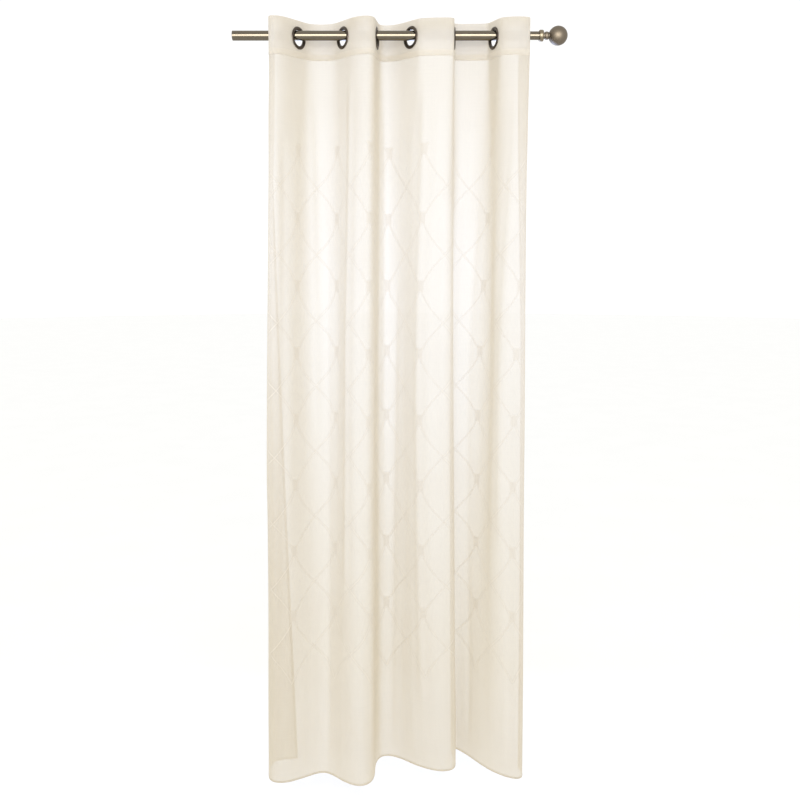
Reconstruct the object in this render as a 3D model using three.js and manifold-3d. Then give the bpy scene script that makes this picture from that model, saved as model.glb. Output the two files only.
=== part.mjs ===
// Sheer voile eyelet curtain hung on a telescopic metal rod with a ball finial.
// Millimetres, +Z up. The origin is on the rod's axis, midway along the rod.
// +X runs to the right as the curtain is seen from the room, and +Y runs away from the room.

import * as THREE from 'three';
import { mergeVertices } from 'three/addons/utils/BufferGeometryUtils.js';
import Module from 'manifold-3d';

const wasm = await Module();
wasm.setup();

// Cloth: a 1400 mm wide panel, 2347 mm from its top edge to its hem.
const CLOTH_WIDTH = 1400;
const TOP_EDGE_Z = 44;
const BAND_FOOT_Z = -66;
const WAIST_Z = -1006;
const HEM_Z = -2303;
const VOILE_THICKNESS = 1.4;
const BAND_THICKNESS = 2.2;

// Play left between pieces that touch.
const SEAT_GAP = 0.3;

// Eyelets: two-part press rings, clamped through the stiffened band.
const EYELET_BORE_RADIUS = 23;
const EYELET_RIM_RADIUS = 33;
const EYELET_BARREL_WALL = 2;
const EYELET_LIP = 1.8;
const EYELET_CROWN = 2.8;
const EYELET_CROWN_INSET = 0.5;
const EYELET_BACK_CROWN_OUTSET = 0.5;
const EYELET_EDGE_INSET = 0.6;
const EYELET_EDGE_HEIGHT = 1.4;
const HOLE_PLAY = 0.1;
const HOLE_CUTTER_LENGTH = 20;

// The band lies flat for this far on both sides of an eyelet's middle, and the voile below it
// takes up its free curve by STIFF_END_Z.
const STIFF_REACH = 36;
const STIFF_END_Z = -420;

// Rod: an outer tube, an inner tube that slides in it, and a ball finial on the inner tube.
const ROD_END_X = 502.5;
const OUTER_TUBE_RADIUS = 14.5;
const OUTER_TUBE_END_X = 345;
const INNER_TUBE_RADIUS = 12.5;
const INNER_TUBE_WALL = 1.2;
const INNER_TUBE_START_X = 185;
const TUBE_END_WALL = 3;
const COLLAR_START_X = 417;
const COLLAR_LENGTH = 13;
const COLLAR_RADIUS = 17;
const COLLAR_CHAMFER = 1.6;
const COLLAR_END_WALL = 3;
const GROOVE_RADIUS = 9.5;
const GROOVE_LENGTH = 4.2;
const BEAD_RADIUS = 12;
const BEAD_LENGTH = 11;
const BALL_RADIUS = 28.5;

// Round pieces have this many sides.
const RING_SIDES = 24;
const ROD_SIDES = 32;
const BALL_STEPS = 12;
const BEAD_STEPS = 4;

// Cloth grid: strips across each eyelet's flat, each fold between two flats and each margin,
// and rows closer together where the folds leave the band.
const FLAT_STRIPS = 4;
const FOLD_STRIPS = 8;
const MARGIN_STRIPS = 2;
const VOILE_ROWS = [-110, -165, -240, -330, -420, -600, -800, WAIST_Z, -1300, -1620, -1950];

// Lines down the cloth where it passes from one fold to the next, a row for each line.
// At each level, cloth is that line's distance from the left edge measured along the cloth,
// x and y are where it hangs, and turn is the way the cloth runs there in degrees:
// 0 runs to the right, 90 straight away from the room, -90 straight towards it.
const FOLD_LINES = [
  // Left edge
  {
    band: { cloth: 0, x: -398, y: 57, turn: -70 },
    waist: { cloth: 0, x: -378, y: 63, turn: -170 },
    hem: { cloth: 0, x: -336, y: 77, turn: -170 },
  },
  // Left return into the narrow front roll
  {
    band: { cloth: 66, x: -384, y: 0, turn: -94 },
    waist: { cloth: 84, x: -402, y: 5, turn: -99 },
    hem: { cloth: 142, x: -419, y: -6, turn: -86 },
  },
  // Front roll into the wide left hollow
  {
    band: { cloth: 248, x: -305, y: 0, turn: 59 },
    waist: { cloth: 250, x: -316, y: 0, turn: 56 },
    hem: { cloth: 292, x: -304, y: -29, turn: 30 },
  },
  // Left hollow into the second front fold
  {
    band: { cloth: 430, x: -171, y: 0, turn: -55 },
    waist: { cloth: 430, x: -180, y: 0, turn: -62 },
    hem: { cloth: 420, x: -193, y: -33, turn: -44 },
  },
  // Second front fold into the middle hollow
  {
    band: { cloth: 612, x: -70, y: 0, turn: 84 },
    waist: { cloth: 612, x: -75, y: 2, turn: 88 },
    hem: { cloth: 603, x: -79, y: 10, turn: 91 },
  },
  // Middle hollow into the broad front fold
  {
    band: { cloth: 794, x: 33, y: 0, turn: -52 },
    waist: { cloth: 812, x: 33, y: 2, turn: -60 },
    hem: { cloth: 782, x: 29, y: 54, turn: -38 },
  },
  // Broad front fold into the deep right hollow
  {
    band: { cloth: 976, x: 162, y: 0, turn: 88 },
    waist: { cloth: 1016, x: 159, y: 12, turn: 108 },
    hem: { cloth: 1000, x: 177, y: 75, turn: 104 },
  },
  // Right hollow into the last front fold
  {
    band: { cloth: 1158, x: 282, y: 0, turn: -70 },
    waist: { cloth: 1220, x: 284, y: 0, turn: -76 },
    hem: { cloth: 1206, x: 272, y: 30, turn: -52 },
  },
  // Last front fold into the right return
  {
    band: { cloth: 1340, x: 375, y: 0, turn: 106 },
    waist: { cloth: 1372, x: 384, y: 0, turn: 98 },
    hem: { cloth: 1373, x: 389, y: 0, turn: 98 },
  },
  // Right edge
  {
    band: { cloth: 1400, x: 364, y: 57, turn: 140 },
    waist: { cloth: 1400, x: 375, y: 26, turn: 115 },
    hem: { cloth: 1400, x: 381, y: 25, turn: 115 },
  },
];

// Halvings used to find a curve's length, and steps round the rod used to find where a bore rests on it.
const HALVINGS = 26;
const REST_STEPS = 90;
// Half the distance along the cloth over which its direction is read.
const DIRECTION_REACH = 0.5;

// Finishes
const voileCloth = new THREE.MeshStandardMaterial({ color: 0xf1ebdd, roughness: 0.9, metalness: 0 });
const bandCloth = new THREE.MeshStandardMaterial({ color: 0xece6d6, roughness: 0.9, metalness: 0 });
const gunmetal = new THREE.MeshStandardMaterial({ color: 0x4a4540, roughness: 0.35, metalness: 0.9 });
const brushedNickel = new THREE.MeshStandardMaterial({ color: 0x9a9080, roughness: 0.4, metalness: 1 });
const agedBrass = new THREE.MeshStandardMaterial({ color: 0xa0937d, roughness: 0.38, metalness: 1 });

// The point that lies a distance ahead of another, in a direction given in degrees.
function ahead(point, turn, distance) {
  const angle = THREE.MathUtils.degToRad(turn);
  return new THREE.Vector2(point.x + distance * Math.cos(angle), point.y + distance * Math.sin(angle));
}

// A fold line at height z: the band's row down to the band's foot, then eased to the waist's and the hem's.
function lineAt(foldLine, z) {
  const [upper, lower, share] = z > WAIST_Z
    ? [foldLine.band, foldLine.waist, (BAND_FOOT_Z - z) / (BAND_FOOT_Z - WAIST_Z)]
    : [foldLine.waist, foldLine.hem, (WAIST_Z - z) / (WAIST_Z - HEM_Z)];
  const t = Math.max(share, 0);
  const mixed = {};
  for (const key of ['cloth', 'x', 'y', 'turn']) {
    mixed[key] = THREE.MathUtils.lerp(upper[key], lower[key], t);
  }
  return mixed;
}

// A fold between two places: leaves and arrives in the given directions and uses up that much cloth.
function foldBetween(start, startTurn, end, endTurn, cloth) {
  let shortest = 0;
  let longest = cloth;
  let fold;
  for (let i = 0; i < HALVINGS; i += 1) {
    const handle = (shortest + longest) / 2;
    fold = new THREE.CubicBezierCurve(
      start,
      ahead(start, startTurn, handle),
      ahead(end, endTurn, -handle),
      end,
    );
    if (fold.getLength() < cloth) {
      shortest = handle;
    } else {
      longest = handle;
    }
  }
  return fold;
}

// The cloth's line seen from above at height z, from its left edge to its right edge.
function sectionAt(z) {
  const stiff = STIFF_REACH * THREE.MathUtils.clamp((z - STIFF_END_Z) / (BAND_FOOT_Z - STIFF_END_Z), 0, 1);
  const lines = FOLD_LINES.map((foldLine) => lineAt(foldLine, z));
  const last = lines.length - 1;
  const path = new THREE.Path();
  for (let i = 0; i < last; i += 1) {
    const [from, to] = [lines[i], lines[i + 1]];
    const flatAfter = i === 0 ? 0 : stiff;
    const flatBefore = i + 1 === last ? 0 : stiff;
    const start = ahead(from, from.turn, flatAfter);
    const end = ahead(to, to.turn, -flatBefore);
    if (flatAfter > 0) {
      path.add(new THREE.LineCurve(ahead(from, from.turn, 0), start));
    }
    path.add(foldBetween(start, from.turn, end, to.turn, to.cloth - from.cloth - flatAfter - flatBefore));
    if (flatBefore > 0) {
      path.add(new THREE.LineCurve(end, ahead(to, to.turn, 0)));
    }
  }
  return path;
}

// Where the cloth is at a share of its width, and the unit vector from it towards the room.
function clothPoint(path, share) {
  const reach = DIRECTION_REACH / CLOTH_WIDTH;
  const before = path.getPoint(Math.max(share - reach, 0));
  const after = path.getPoint(Math.min(share + reach, 1));
  const along = after.sub(before).normalize();
  return { at: path.getPoint(share), toRoom: new THREE.Vector2(along.y, -along.x) };
}

// Distances from the cloth's left edge at which its strips end.
function stripEnds() {
  const ends = [0];
  const divideTo = (distance, strips) => {
    const from = ends.at(-1);
    for (let i = 1; i <= strips; i += 1) {
      ends.push(THREE.MathUtils.lerp(from, distance, i / strips));
    }
  };
  FOLD_LINES.slice(1, -1).forEach(({ band }, i) => {
    divideTo(band.cloth - STIFF_REACH, i === 0 ? MARGIN_STRIPS : FOLD_STRIPS);
    divideTo(band.cloth + STIFF_REACH, FLAT_STRIPS);
  });
  divideTo(CLOTH_WIDTH, MARGIN_STRIPS);
  return ends;
}

// A sheet of cloth through the given heights, as one closed solid.
function clothSheet(heights, thickness) {
  const positions = [];
  const ends = stripEnds();
  const strips = ends.length - 1;
  for (const side of [1, -1]) {
    for (const z of heights) {
      const path = sectionAt(z);
      for (const distance of ends) {
        const { at, toRoom } = clothPoint(path, distance / CLOTH_WIDTH);
        positions.push(
          at.x + side * toRoom.x * thickness / 2,
          at.y + side * toRoom.y * thickness / 2,
          z,
        );
      }
    }
  }
  const rows = heights.length;
  const columns = ends.length;
  const front = (row, column) => row * columns + column;
  const back = (row, column) => rows * columns + front(row, column);
  const index = [];
  const quad = (a, b, c, d) => index.push(a, b, c, a, c, d);
  for (let row = 0; row + 1 < rows; row += 1) {
    for (let i = 0; i < strips; i += 1) {
      quad(front(row, i), front(row + 1, i), front(row + 1, i + 1), front(row, i + 1));
      quad(back(row, i), back(row, i + 1), back(row + 1, i + 1), back(row + 1, i));
    }
    quad(front(row, 0), back(row, 0), back(row + 1, 0), front(row + 1, 0));
    quad(
      front(row, strips),
      front(row + 1, strips),
      back(row + 1, strips),
      back(row, strips),
    );
  }
  for (let i = 0; i < strips; i += 1) {
    quad(front(0, i), front(0, i + 1), back(0, i + 1), back(0, i));
    quad(front(rows - 1, i), back(rows - 1, i), back(rows - 1, i + 1), front(rows - 1, i + 1));
  }
  const geometry = new THREE.BufferGeometry();
  geometry.setAttribute('position', new THREE.Float32BufferAttribute(positions, 3));
  geometry.setIndex(index);
  geometry.computeVertexNormals();
  return geometry;
}

// A closed mesh as a solid that can be joined and cut.
function toSolid(geometry) {
  const bare = geometry.clone();
  bare.deleteAttribute('normal');
  bare.deleteAttribute('uv');
  const merged = mergeVertices(bare);
  return new wasm.Manifold(new wasm.Mesh({
    numProp: 3,
    vertProperties: new Float32Array(merged.attributes.position.array),
    triVerts: new Uint32Array(merged.index.array),
  }));
}

// A solid as a mesh again.
function toGeometry(solid) {
  const mesh = solid.getMesh();
  const geometry = new THREE.BufferGeometry();
  geometry.setAttribute('position', new THREE.BufferAttribute(mesh.vertProperties, 3));
  geometry.setIndex(new THREE.BufferAttribute(mesh.triVerts, 1));
  geometry.computeVertexNormals();
  return geometry;
}

// A turned piece from its outline, each point given as radius and place along the axis.
function turned(outline, sides) {
  return new THREE.LatheGeometry(outline.map(([radius, along]) => new THREE.Vector2(radius, along)), sides);
}

// How far an eyelet's middle hangs below the rod's axis, with its bore resting on the rod.
// The rod crosses the bore at an angle, so each slice of it is an ellipse, off to one side.
function hangDrop(turn, rodRadius, halfDepth) {
  const angle = THREE.MathUtils.degToRad(Math.abs(turn));
  const bore = EYELET_BORE_RADIUS * Math.cos(Math.PI / RING_SIDES) - SEAT_GAP;
  const shift = Math.abs(halfDepth / Math.tan(angle));
  let drop = bore - rodRadius;
  for (let i = 0; i <= REST_STEPS; i += 1) {
    const slice = (Math.PI * i) / REST_STEPS;
    const across = shift + (rodRadius * Math.cos(slice)) / Math.sin(angle);
    const up = rodRadius * Math.sin(slice);
    drop = Math.min(drop, Math.sqrt(bore ** 2 - across ** 2) - up);
  }
  return drop;
}

// Eyelet outlines, with the band's mid-plane at 0 and the room on the plus side.
const barrelRadius = EYELET_BORE_RADIUS + EYELET_BARREL_WALL;
const clampZ = BAND_THICKNESS / 2 + SEAT_GAP;
const lipZ = clampZ + EYELET_LIP;
const crownZ = clampZ + EYELET_CROWN;
const ringMiddleRadius = (EYELET_BORE_RADIUS + EYELET_RIM_RADIUS) / 2;
const eyeletFaceOutline = [
  [EYELET_BORE_RADIUS, -lipZ],
  [barrelRadius, -lipZ],
  [barrelRadius, clampZ],
  [EYELET_RIM_RADIUS, clampZ],
  [EYELET_RIM_RADIUS - EYELET_EDGE_INSET, clampZ + EYELET_EDGE_HEIGHT],
  [ringMiddleRadius - EYELET_CROWN_INSET, crownZ],
  [EYELET_BORE_RADIUS + EYELET_EDGE_INSET, lipZ],
  [EYELET_BORE_RADIUS, -lipZ],
];
const eyeletBackOutline = [
  [barrelRadius + SEAT_GAP, -clampZ],
  [barrelRadius + SEAT_GAP, -lipZ],
  [ringMiddleRadius + EYELET_BACK_CROWN_OUTSET, -crownZ],
  [EYELET_RIM_RADIUS - EYELET_EDGE_INSET, -clampZ - EYELET_EDGE_HEIGHT],
  [EYELET_RIM_RADIUS, -clampZ],
  [barrelRadius + SEAT_GAP, -clampZ],
];

// Eyelets stand at the fold lines, all but the two edges.
const eyelets = FOLD_LINES.slice(1, -1).map(({ band }) => {
  const rodRadius = band.x < OUTER_TUBE_END_X ? OUTER_TUBE_RADIUS : INNER_TUBE_RADIUS;
  return { ...band, z: -hangDrop(band.turn, rodRadius, lipZ) };
});

// Places a turned piece in the band at an eyelet, its plus side towards the room.
function placeAtEyelet(object, eyelet) {
  object.position.set(eyelet.x, eyelet.y, eyelet.z);
  object.rotation.z = Math.PI + THREE.MathUtils.degToRad(eyelet.turn);
  return object;
}

const curtain = new THREE.Group();

function addPiece(name, geometry, material, parent) {
  const mesh = new THREE.Mesh(geometry, material);
  mesh.name = name;
  parent.add(mesh);
  return mesh;
}

// Voile panel, hung from the foot of the band.
const voileHeights = [BAND_FOOT_Z - SEAT_GAP, ...VOILE_ROWS, HEM_Z];
addPiece('voile_panel', clothSheet(voileHeights, VOILE_THICKNESS), voileCloth, curtain);

// Heading band, with a round hole for each eyelet.
const holeRadius = (barrelRadius + SEAT_GAP) / Math.cos(Math.PI / RING_SIDES) + HOLE_PLAY;
let band = toSolid(clothSheet([TOP_EDGE_Z, BAND_FOOT_Z], BAND_THICKNESS));
for (const eyelet of eyelets) {
  const cutter = new THREE.Mesh(
    new THREE.CylinderGeometry(holeRadius, holeRadius, HOLE_CUTTER_LENGTH, RING_SIDES),
  );
  placeAtEyelet(cutter, eyelet).updateMatrix();
  band = band.subtract(toSolid(cutter.geometry.applyMatrix4(cutter.matrix)));
}
addPiece('heading_band', toGeometry(band), bandCloth, curtain);

// Eyelets: a face with its barrel from the room side, and a clamping ring from behind.
eyelets.forEach((eyelet, i) => {
  const number = i + 1;
  const face = turned(eyeletFaceOutline, RING_SIDES);
  const back = turned(eyeletBackOutline, RING_SIDES);
  placeAtEyelet(addPiece(`eyelet_${number}_face`, face, gunmetal, curtain), eyelet);
  placeAtEyelet(addPiece(`eyelet_${number}_back`, back, gunmetal, curtain), eyelet);
});

// Rod pieces are turned about their own Y, which the group lays along +X.
const rod = new THREE.Group();
rod.rotation.z = -Math.PI / 2;
curtain.add(rod);

// Tubes: the outer one is closed at its plain left end, the inner one is open at both.
const boreRadius = INNER_TUBE_RADIUS + SEAT_GAP;
addPiece('rod_outer_tube', turned([
  [0, -ROD_END_X],
  [OUTER_TUBE_RADIUS, -ROD_END_X],
  [OUTER_TUBE_RADIUS, OUTER_TUBE_END_X],
  [boreRadius, OUTER_TUBE_END_X],
  [boreRadius, -ROD_END_X + TUBE_END_WALL],
  [0, -ROD_END_X + TUBE_END_WALL],
], ROD_SIDES), brushedNickel, rod);

const innerBoreRadius = INNER_TUBE_RADIUS - INNER_TUBE_WALL;
const collarEndX = COLLAR_START_X + COLLAR_LENGTH;
const collarSeatX = collarEndX - COLLAR_END_WALL;
addPiece('rod_inner_tube', turned([
  [innerBoreRadius, INNER_TUBE_START_X],
  [INNER_TUBE_RADIUS, INNER_TUBE_START_X],
  [INNER_TUBE_RADIUS, collarSeatX - SEAT_GAP],
  [innerBoreRadius, collarSeatX - SEAT_GAP],
  [innerBoreRadius, INNER_TUBE_START_X],
], ROD_SIDES), brushedNickel, rod);

// Finial: a chamfered collar over the tube's end, then a groove, a bead and the ball.
addPiece('finial_collar', turned([
  [0, collarSeatX],
  [boreRadius, collarSeatX],
  [boreRadius, COLLAR_START_X],
  [COLLAR_RADIUS - COLLAR_CHAMFER, COLLAR_START_X],
  [COLLAR_RADIUS, COLLAR_START_X + COLLAR_CHAMFER],
  [COLLAR_RADIUS, collarEndX - COLLAR_CHAMFER],
  [COLLAR_RADIUS - COLLAR_CHAMFER, collarEndX],
  [0, collarEndX],
], ROD_SIDES), agedBrass, rod);

const grooveStartX = collarEndX + SEAT_GAP;
const beadStartX = grooveStartX + GROOVE_LENGTH;
const ballX = ROD_END_X - BALL_RADIUS;
const knobOutline = [[0, grooveStartX], [GROOVE_RADIUS, grooveStartX], [GROOVE_RADIUS, beadStartX]];
for (let i = 1; i <= BEAD_STEPS; i += 1) {
  const angle = (Math.PI * i) / (BEAD_STEPS + 1);
  knobOutline.push([
    GROOVE_RADIUS + (BEAD_RADIUS - GROOVE_RADIUS) * Math.sin(angle),
    beadStartX + (BEAD_LENGTH * (1 - Math.cos(angle))) / 2,
  ]);
}
const neckAngle = Math.asin(GROOVE_RADIUS / BALL_RADIUS);
for (let i = 0; i < BALL_STEPS; i += 1) {
  const angle = THREE.MathUtils.lerp(neckAngle, Math.PI, i / BALL_STEPS);
  knobOutline.push([BALL_RADIUS * Math.sin(angle), ballX - BALL_RADIUS * Math.cos(angle)]);
}
knobOutline.push([0, ROD_END_X]);
addPiece('finial_knob', turned(knobOutline, ROD_SIDES), agedBrass, rod);

export default curtain;
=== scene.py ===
"""Sheer voile eyelet curtain, hung in uneven folds on a telescopic metal rod with a ball finial.

Sizes are in millimetres until a mesh is made, and meshes are in metres. The origin is on the rod's
axis, midway along it. +X runs to the right as seen from the room, +Y away from the room, +Z up.
"""

import logging
import math
from dataclasses import dataclass
from enum import Enum
from functools import lru_cache
from typing import Any, Callable, Sequence

import bpy
import numpy as np
from mathutils import Matrix, Vector, noise

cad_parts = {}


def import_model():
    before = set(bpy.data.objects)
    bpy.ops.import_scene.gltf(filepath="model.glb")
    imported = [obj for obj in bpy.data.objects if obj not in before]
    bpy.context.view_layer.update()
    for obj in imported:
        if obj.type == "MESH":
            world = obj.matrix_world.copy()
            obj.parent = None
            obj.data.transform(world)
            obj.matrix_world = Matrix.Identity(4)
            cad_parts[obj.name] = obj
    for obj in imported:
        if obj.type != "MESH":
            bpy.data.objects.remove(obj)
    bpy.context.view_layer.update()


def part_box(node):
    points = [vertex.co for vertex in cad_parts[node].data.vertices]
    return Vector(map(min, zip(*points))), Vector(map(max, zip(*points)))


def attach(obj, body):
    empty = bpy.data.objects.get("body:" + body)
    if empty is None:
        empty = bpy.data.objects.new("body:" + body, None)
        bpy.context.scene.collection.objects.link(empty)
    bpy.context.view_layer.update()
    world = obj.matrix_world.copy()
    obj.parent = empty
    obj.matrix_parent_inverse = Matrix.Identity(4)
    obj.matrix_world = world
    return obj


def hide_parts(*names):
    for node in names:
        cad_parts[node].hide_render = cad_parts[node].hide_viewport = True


LOG = logging.getLogger("curtain")
MM = 0.001
# Degrees from which an edge is shaded sharp: cloth only where it is folded flat, metal at its chamfers
CLOTH_SHARP_FROM = 50.0
METAL_SHARP_FROM = 38.0


# Colours and nodes

def linear(srgb: str) -> tuple[float, float, float, float]:
    """Turns an sRGB hex colour into linear red, green and blue with full alpha.

    Args:
        srgb: six hex digits, such as "f3ecdc".

    Returns:
        Linear red, green, blue and an alpha of 1.
    """
    parts = [int(srgb[i:i + 2], 16) / 255 for i in (0, 2, 4)]
    red, green, blue = (p / 12.92 if p <= 0.04045 else ((p + 0.055) / 1.055) ** 2.4 for p in parts)
    return red, green, blue, 1.0


def add_node(tree: bpy.types.NodeTree, kind: str, settings: dict[str, Any] | None = None,
             feeds: dict[str | int, Any] | None = None, take: str | int = 0) -> bpy.types.NodeSocket:
    """Adds a node with its settings and links.

    Args:
        tree: the node tree that gets it.
        kind: the node's type name.
        settings: the node's own attributes.
        feeds: a value or another node's output for each input that isn't left as it is.
        take: the output that the caller wants.

    Returns:
        That output, or None for a node that has none.
    """
    node = tree.nodes.new(kind)
    for key, value in (settings or {}).items():
        setattr(node, key, value)
    for key, value in (feeds or {}).items():
        if isinstance(value, bpy.types.NodeSocket):
            tree.links.new(value, node.inputs[key])
        else:
            node.inputs[key].default_value = value
    return node.outputs[take] if len(node.outputs) else None


def empty_material(name: str) -> tuple[bpy.types.Material, bpy.types.NodeTree]:
    """Makes a material with an empty node tree.

    Args:
        name: the finish's name.

    Returns:
        The material and its tree.
    """
    material = bpy.data.materials.new(name)
    material.use_nodes = True
    material.node_tree.nodes.clear()
    return material, material.node_tree


# Finishes

@dataclass(frozen=True)
class Trellis:
    """The woven diagonal lattice: its lines cross plainly between rows and pass through small upright
    rectangles on the rows. Sizes are in millimetres, and ogee bows the lines into a gentle S."""

    first_column: float = 245.0
    column_pitch: float = 152.0
    first_row_z: float = -347.0
    row_pitch: float = 205.5
    rows: int = 8
    line_width: float = 3.2
    box_width: float = 20.0
    box_height: float = 34.0
    box_rise: float = 8.0
    edge: float = 1.2
    ogee: float = 0.32

    def mask(self, tree: bpy.types.NodeTree, cloth: bpy.types.NodeSocket) -> bpy.types.NodeSocket:
        """Adds the nodes that are 1 on the lattice and 0 beside it.

        Args:
            tree: the cloth's node tree.
            cloth: distances across the cloth and below the rod's axis, in metres.

        Returns:
            The mask's output.
        """
        across = add_node(tree, "ShaderNodeSeparateXYZ", None, {0: cloth}, "X")
        down = add_node(tree, "ShaderNodeSeparateXYZ", None, {0: cloth}, "Y")
        half_column, half_row = self.column_pitch * MM / 2, self.row_pitch * MM / 2
        column = add_node(tree, "ShaderNodeMath", {"operation": "MULTIPLY_ADD"},
                          {0: across, 1: 1 / half_column, 2: -self.first_column * MM / half_column})
        row = add_node(tree, "ShaderNodeMath", {"operation": "MULTIPLY_ADD"},
                       {0: down, 1: 1 / half_row, 2: self.first_row_z * MM / half_row})
        turn = add_node(tree, "ShaderNodeMath", {"operation": "MULTIPLY"}, {0: row, 1: math.pi})
        wave = add_node(tree, "ShaderNodeMath", {"operation": "SINE"}, {0: turn})
        bowed = add_node(tree, "ShaderNodeMath", {"operation": "MULTIPLY_ADD"},
                         {0: wave, 1: -self.ogee / math.pi, 2: row})
        reach = half_column * half_row / math.hypot(half_column, half_row)
        lines = []
        for operation in ("ADD", "SUBTRACT"):
            slant = add_node(tree, "ShaderNodeMath", {"operation": operation}, {0: column, 1: bowed})
            lines.append(self._near(tree, slant, reach, self.line_width / 2))
        lattice = add_node(tree, "ShaderNodeMath", {"operation": "MAXIMUM"}, {0: lines[0], 1: lines[1]})
        lattice = self._above(tree, lattice, row, 2 * self.rows)
        box_row = add_node(tree, "ShaderNodeMath", {"operation": "ADD"},
                           {0: row, 1: self.box_rise * MM / half_row})
        box = add_node(tree, "ShaderNodeMath", {"operation": "MULTIPLY"},
                       {0: self._near(tree, column, half_column, self.box_width / 2),
                        1: self._near(tree, box_row, half_row, self.box_height / 2)})
        box = self._above(tree, box, row, 2 * self.rows - 1)
        woven = add_node(tree, "ShaderNodeMath", {"operation": "MAXIMUM"}, {0: lattice, 1: box})
        start = -(self.box_height / 2 + self.box_rise) * MM / half_row
        below = add_node(tree, "ShaderNodeMath", {"operation": "GREATER_THAN"}, {0: row, 1: start})
        return add_node(tree, "ShaderNodeMath", {"operation": "MULTIPLY"}, {0: woven, 1: below})

    def _above(self, tree: bpy.types.NodeTree, mask: bpy.types.NodeSocket, row: bpy.types.NodeSocket,
               last: int) -> bpy.types.NodeSocket:
        """Ends a mask at a half row.

        Args:
            tree: the cloth's node tree.
            mask: the mask.
            row: half rows below the first row of boxes.
            last: the half row that it ends at.

        Returns:
            The ended mask's output.
        """
        above = add_node(tree, "ShaderNodeMath", {"operation": "LESS_THAN"}, {0: row, 1: float(last)})
        return add_node(tree, "ShaderNodeMath", {"operation": "MULTIPLY"}, {0: mask, 1: above})

    def _near(self, tree: bpy.types.NodeTree, place: bpy.types.NodeSocket, scale: float,
              half_width: float) -> bpy.types.NodeSocket:
        """Adds nodes that are 1 within half_width of each even step of place, with a soft edge.

        Args:
            tree: the cloth's node tree.
            place: a place counted in half periods.
            scale: metres in a half period.
            half_width: half the mark's width in millimetres.

        Returns:
            The mask's output.
        """
        away = add_node(tree, "ShaderNodeMath", {"operation": "PINGPONG"}, {0: place, 1: 1.0})
        return add_node(tree, "ShaderNodeMapRange", {"interpolation_type": "SMOOTHSTEP"}, {
            "Value": away,
            "From Min": (half_width - self.edge / 2) * MM / scale,
            "From Max": (half_width + self.edge) * MM / scale,
            "To Min": 1.0,
            "To Max": 0.0,
        })


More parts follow.
